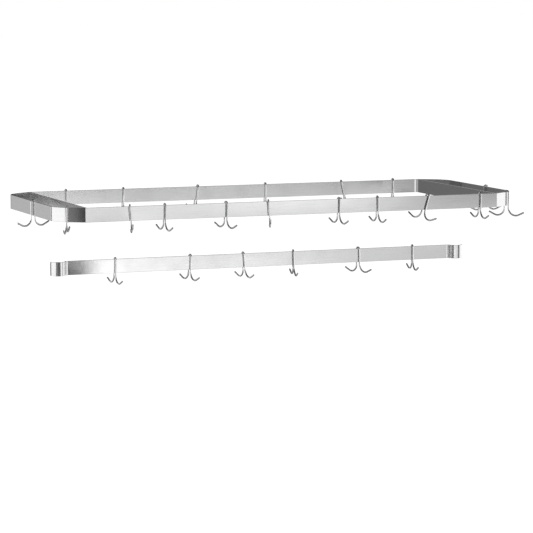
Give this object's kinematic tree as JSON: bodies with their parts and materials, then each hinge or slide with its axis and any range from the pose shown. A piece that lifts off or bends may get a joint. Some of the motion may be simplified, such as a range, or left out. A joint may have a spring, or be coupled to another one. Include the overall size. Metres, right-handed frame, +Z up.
{
  "type": "utensil rack",
  "caption": "Pot and utensil rack of flat steel bar: a ring with looped ends and a lower bar with post saddles, carrying sliding double-prong wire hooks.",
  "frame": {"origin": "midway between the axes of the two posts, level with the lower bar's bottom edge", "axes": "+X along the rack, -Y its front, +Z up"},
  "size_m": [1.9033, 0.8207, 0.3204],
  "materials": {
    "brushed_bar": "brushed along the bar",
    "plated_wire": "bright plated"
  },
  "bodies": {
    "rack": {"front_bar": "brushed_bar", "rear_bar": "brushed_bar", "left_cross_bar": "brushed_bar", "right_cross_bar": "brushed_bar", "left_end_loop": "brushed_bar", "right_end_loop": "brushed_bar", "lower_bar": "brushed_bar", "left_saddle": "brushed_bar", "right_saddle": "brushed_bar"},
    "front_hook_1": {"front_hook_1": "plated_wire"},
    "front_hook_2": {"front_hook_2": "plated_wire"},
    "front_hook_3": {"front_hook_3": "plated_wire"},
    "front_hook_4": {"front_hook_4": "plated_wire"},
    "front_hook_5": {"front_hook_5": "plated_wire"},
    "front_hook_6": {"front_hook_6": "plated_wire"},
    "front_hook_7": {"front_hook_7": "plated_wire"},
    "front_hook_8": {"front_hook_8": "plated_wire"},
    "rear_hook_1": {"rear_hook_1": "plated_wire"},
    "rear_hook_2": {"rear_hook_2": "plated_wire"},
    "rear_hook_3": {"rear_hook_3": "plated_wire"},
    "rear_hook_4": {"rear_hook_4": "plated_wire"},
    "rear_hook_5": {"rear_hook_5": "plated_wire"},
    "rear_hook_6": {"rear_hook_6": "plated_wire"},
    "lower_hook_1": {"lower_hook_1": "plated_wire"},
    "lower_hook_2": {"lower_hook_2": "plated_wire"},
    "lower_hook_3": {"lower_hook_3": "plated_wire"},
    "lower_hook_4": {"lower_hook_4": "plated_wire"},
    "lower_hook_5": {"lower_hook_5": "plated_wire"},
    "lower_hook_6": {"lower_hook_6": "plated_wire"},
    "left_slant_hook": {"left_slant_hook": "plated_wire"},
    "left_end_hook": {"left_end_hook": "plated_wire"},
    "right_end_hook": {"right_end_hook": "plated_wire"},
    "right_corner_hook": {"right_corner_hook": "plated_wire"}
  },
  "joints": [
    {"name": "front_hook_1_slide", "type": "slide", "parent": "rack", "child": "front_hook_1", "axis": [1, 0, 0], "range_m": [-0.102, 0.04]},
    {"name": "front_hook_2_slide", "type": "slide", "parent": "rack", "child": "front_hook_2", "axis": [1, 0, 0], "range_m": [-0.04, 0.098]},
    {"name": "front_hook_3_slide", "type": "slide", "parent": "rack", "child": "front_hook_3", "axis": [1, 0, 0], "range_m": [-0.098, 0.058]},
    {"name": "front_hook_4_slide", "type": "slide", "parent": "rack", "child": "front_hook_4", "axis": [1, 0, 0], "range_m": [-0.058, 0.11]},
    {"name": "front_hook_5_slide", "type": "slide", "parent": "rack", "child": "front_hook_5", "axis": [1, 0, 0], "range_m": [-0.11, 0.066]},
    {"name": "front_hook_6_slide", "type": "slide", "parent": "rack", "child": "front_hook_6", "axis": [1, 0, 0], "range_m": [-0.066, 0.069]},
    {"name": "front_hook_7_slide", "type": "slide", "parent": "rack", "child": "front_hook_7", "axis": [1, 0, 0], "range_m": [-0.069, 0.096]},
    {"name": "front_hook_8_slide", "type": "slide", "parent": "rack", "child": "front_hook_8", "axis": [1, 0, 0], "range_m": [-0.096, 0.033]},
    {"name": "rear_hook_1_slide", "type": "slide", "parent": "rack", "child": "rear_hook_1", "axis": [1, 0, 0], "range_m": [-0.124, 0.105]},
    {"name": "rear_hook_2_slide", "type": "slide", "parent": "rack", "child": "rear_hook_2", "axis": [1, 0, 0], "range_m": [-0.105, 0.133]},
    {"name": "rear_hook_3_slide", "type": "slide", "parent": "rack", "child": "rear_hook_3", "axis": [1, 0, 0], "range_m": [-0.133, 0.13]},
    {"name": "rear_hook_4_slide", "type": "slide", "parent": "rack", "child": "rear_hook_4", "axis": [1, 0, 0], "range_m": [-0.13, 0.15]},
    {"name": "rear_hook_5_slide", "type": "slide", "parent": "rack", "child": "rear_hook_5", "axis": [1, 0, 0], "range_m": [-0.15, 0.09]},
    {"name": "rear_hook_6_slide", "type": "slide", "parent": "rack", "child": "rear_hook_6", "axis": [1, 0, 0], "range_m": [-0.09, 0.093]},
    {"name": "lower_hook_1_slide", "type": "slide", "parent": "rack", "child": "lower_hook_1", "axis": [1, 0, 0], "range_m": [-0.162, 0.129]},
    {"name": "lower_hook_2_slide", "type": "slide", "parent": "rack", "child": "lower_hook_2", "axis": [1, 0, 0], "range_m": [-0.129, 0.091]},
    {"name": "lower_hook_3_slide", "type": "slide", "parent": "rack", "child": "lower_hook_3", "axis": [1, 0, 0], "range_m": [-0.091, 0.082]},
    {"name": "lower_hook_4_slide", "type": "slide", "parent": "rack", "child": "lower_hook_4", "axis": [1, 0, 0], "range_m": [-0.082, 0.108]},
    {"name": "lower_hook_5_slide", "type": "slide", "parent": "rack", "child": "lower_hook_5", "axis": [1, 0, 0], "range_m": [-0.108, 0.091]},
    {"name": "lower_hook_6_slide", "type": "slide", "parent": "rack", "child": "lower_hook_6", "axis": [1, 0, 0], "range_m": [-0.091, 0.121]},
    {"name": "left_slant_hook_slide", "type": "slide", "parent": "rack", "child": "left_slant_hook", "axis": [-0.848, 0.5299, 0], "range_m": [-0.045, 0.001]},
    {"name": "left_end_hook_slide", "type": "slide", "parent": "rack", "child": "left_end_hook", "axis": [0, 1, 0], "range_m": [-0.196, 0.25]},
    {"name": "right_end_hook_slide", "type": "slide", "parent": "rack", "child": "right_end_hook", "axis": [0, 1, 0], "range_m": [-0.157, 0.287]},
    {"name": "right_corner_hook_round_corner", "type": "hinge", "parent": "rack", "child": "right_corner_hook", "pos_m": [0.8036, -0.2378, 0.2728], "axis": [0, 0, 1], "range_deg": [-4, 53]}
  ]
}
